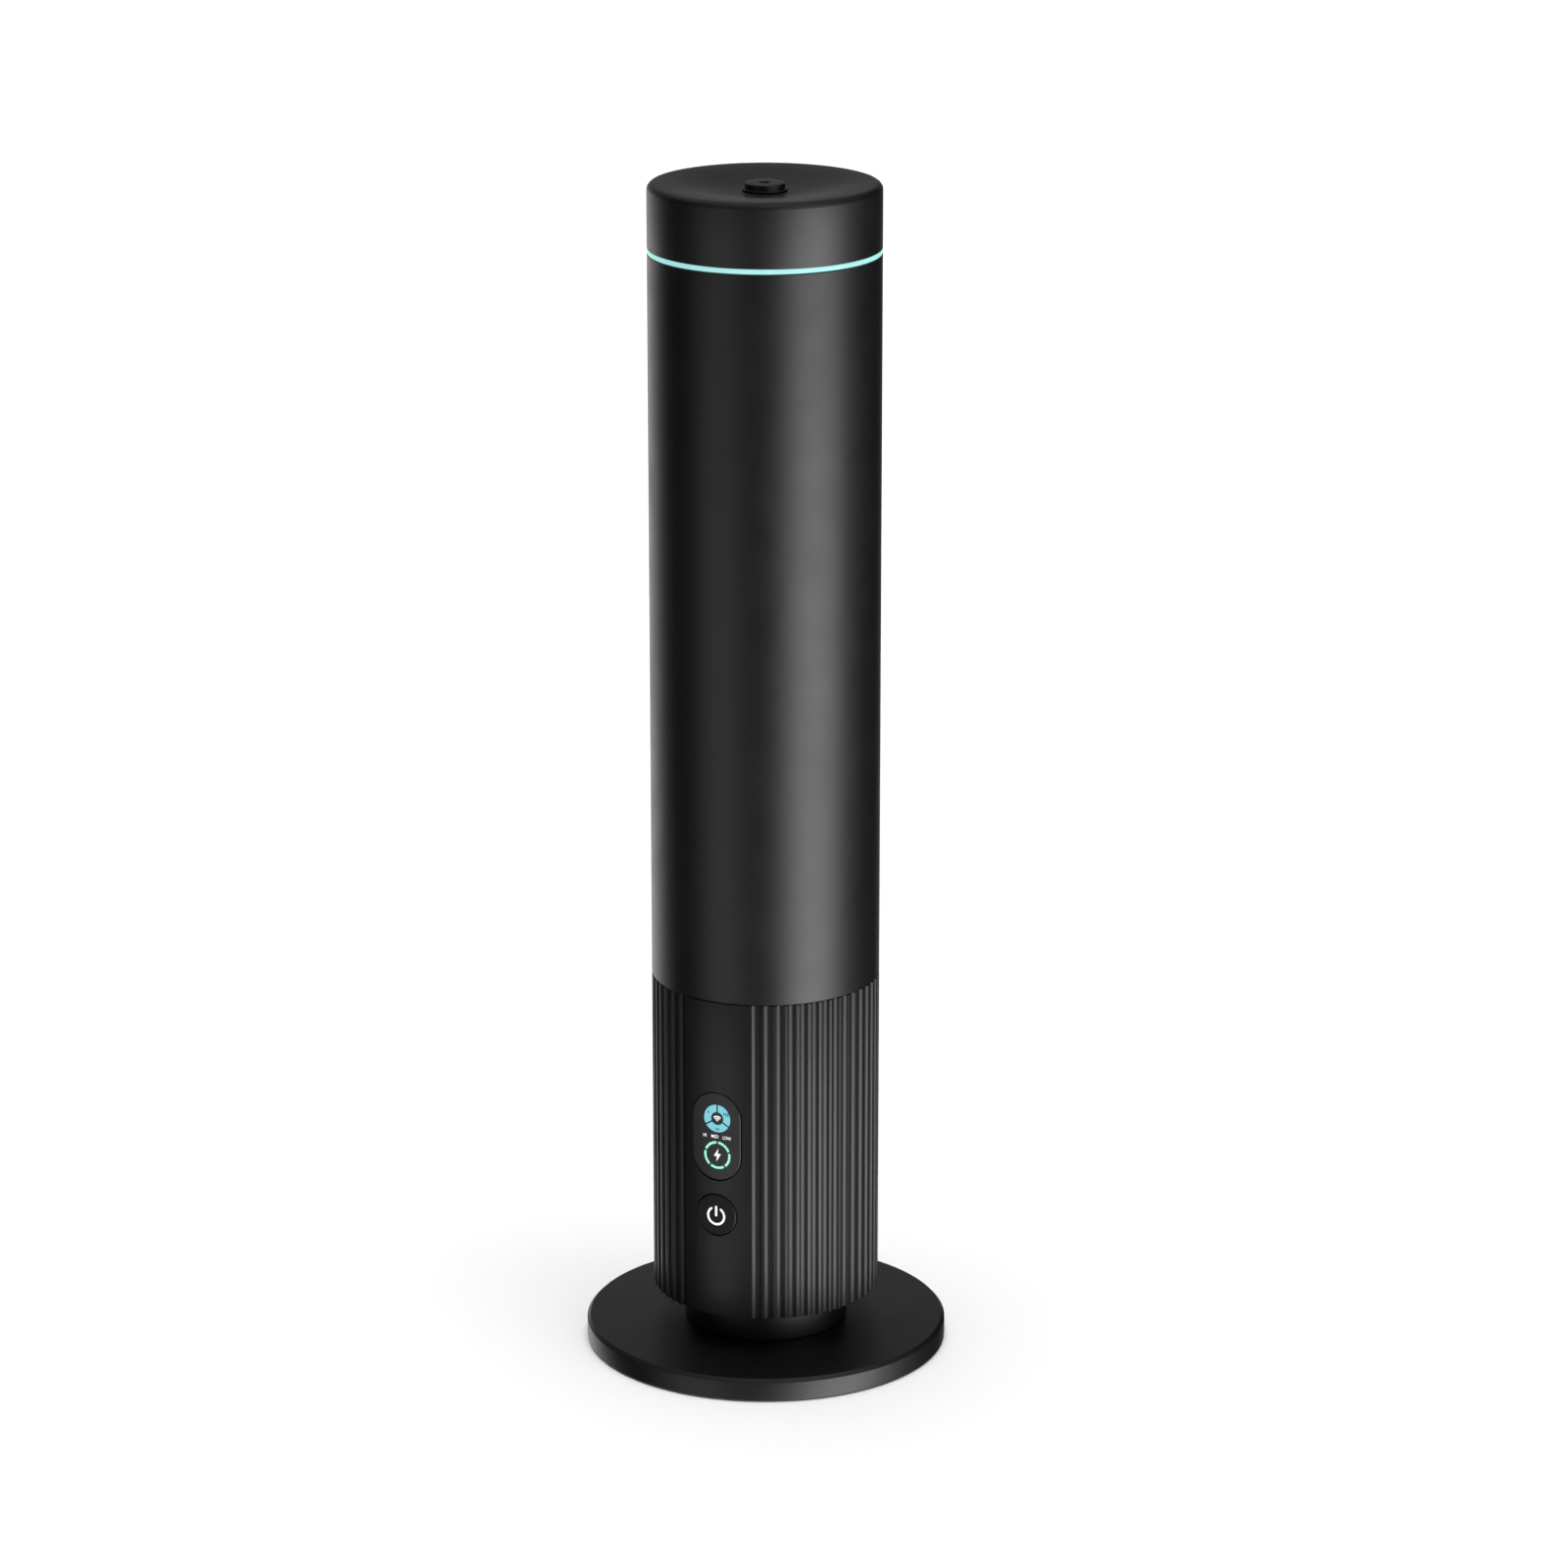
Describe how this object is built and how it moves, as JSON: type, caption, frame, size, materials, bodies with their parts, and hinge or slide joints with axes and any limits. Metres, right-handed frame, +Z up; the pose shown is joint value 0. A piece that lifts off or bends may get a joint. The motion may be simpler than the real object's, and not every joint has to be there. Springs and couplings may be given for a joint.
{
  "type": "scent diffuser",
  "caption": "Cordless tower scent diffuser with a ribbed lower housing, display, press button, light ring, lift-off cap and lift-out oil bottle.",
  "frame": {"origin": "on the floor under the tower's axis, at the centre of the base", "axes": "+Z up along the tower's axis; -Y out of the control panel; +X to the right of someone who faces the panel"},
  "size_m": [0.16, 0.16, 0.5214],
  "materials": {
    "satin_black": "satin, fine grained",
    "anodised_black": "bead blasted and anodised, satin",
    "inner_black": "matte moulded",
    "gloss_black": "semi-gloss window",
    "button_black": "smooth matte",
    "rubber": "matte",
    "silicone": "translucent matte",
    "steel": "brushed",
    "nickel": "nickel plated",
    "circuit_board": "solder mask",
    "battery_wrap": "shrink wrap",
    "opal_plastic": "opal",
    "light_cyan": "opal, lit",
    "amber_glass": "clear amber",
    "white_plastic": "moulded",
    "filter_foam": "open-cell foam",
    "lead_red": "wire insulation"
  },
  "bodies": {
    "tower": {"base_plate": "satin_black", "neck_collar": "satin_black", "lower_housing": "satin_black", "upper_tube": "anodised_black", "base_cover": "inner_black", "bottom_cap": "inner_black", "button_switch": "inner_black", "inner_frame": "inner_black", "battery_holder": "inner_black", "joining_ring": "inner_black", "top_frame": "inner_black", "pump_shelf": "inner_black", "bottle_seat": "inner_black", "display_window": "gloss_black", "foot_pad_1": "rubber", "foot_pad_2": "rubber", "foot_pad_3": "rubber", "foot_pad_4": "rubber", "pump_damper": "rubber", "pump_diaphragm": "rubber", "riser_seal": "rubber", "light_lead": "rubber", "air_hose": "silicone", "base_weight": "steel", "base_screw_1": "steel", "base_screw_2": "steel", "base_screw_3": "steel", "neck_screw_1": "steel", "neck_screw_2": "steel", "neck_screw_3": "steel", "board_screw_1": "steel", "board_screw_2": "steel", "charge_port": "nickel", "pump_motor": "nickel", "air_riser": "nickel", "control_board": "circuit_board", "main_board": "circuit_board", "charge_board": "circuit_board", "led_board": "circuit_board", "battery_cell_1": "battery_wrap", "battery_cell_2": "battery_wrap", "light_guide": "opal_plastic", "led_ring": "light_cyan", "pump_body": "white_plastic", "pump_head": "white_plastic", "intake_filter": "filter_foam", "pump_lead": "lead_red"},
    "power_button": {"power_button": "button_black"},
    "pump_rotor": {"pump_rotor": "steel"},
    "bottle": {"oil_bottle": "amber_glass"},
    "atomizer_head": {"bottle_collar": "inner_black", "dip_tube": "silicone", "atomizer_body": "inner_black", "venturi_jet": "nickel", "atomizer_gasket": "silicone", "atomizer_lid": "inner_black"},
    "cap_unit": {"top_cap": "satin_black", "cap_insert": "inner_black", "nozzle": "satin_black", "nozzle_seal": "silicone"}
  },
  "joints": [
    {"name": "button_press", "type": "slide", "parent": "tower", "child": "power_button", "axis": [0, 1, 0], "range_m": [0, 0.0008], "stiffness_N_per_m": 1500},
    {"name": "pump_spin", "type": "hinge", "parent": "tower", "child": "pump_rotor", "pos_m": [0, 0, 0.2168], "axis": [0, 0, 1], "continuous": true},
    {"name": "bottle_lift", "type": "slide", "parent": "tower", "child": "bottle", "axis": [0, 0, 1], "range_m": [0, 0.26]},
    {"name": "head_lift", "type": "slide", "parent": "bottle", "child": "atomizer_head", "axis": [0, 0, 1], "range_m": [0, 0.17]},
    {"name": "cap_lift", "type": "slide", "parent": "atomizer_head", "child": "cap_unit", "axis": [0, 0, 1], "range_m": [0, 0.04]}
  ]
}
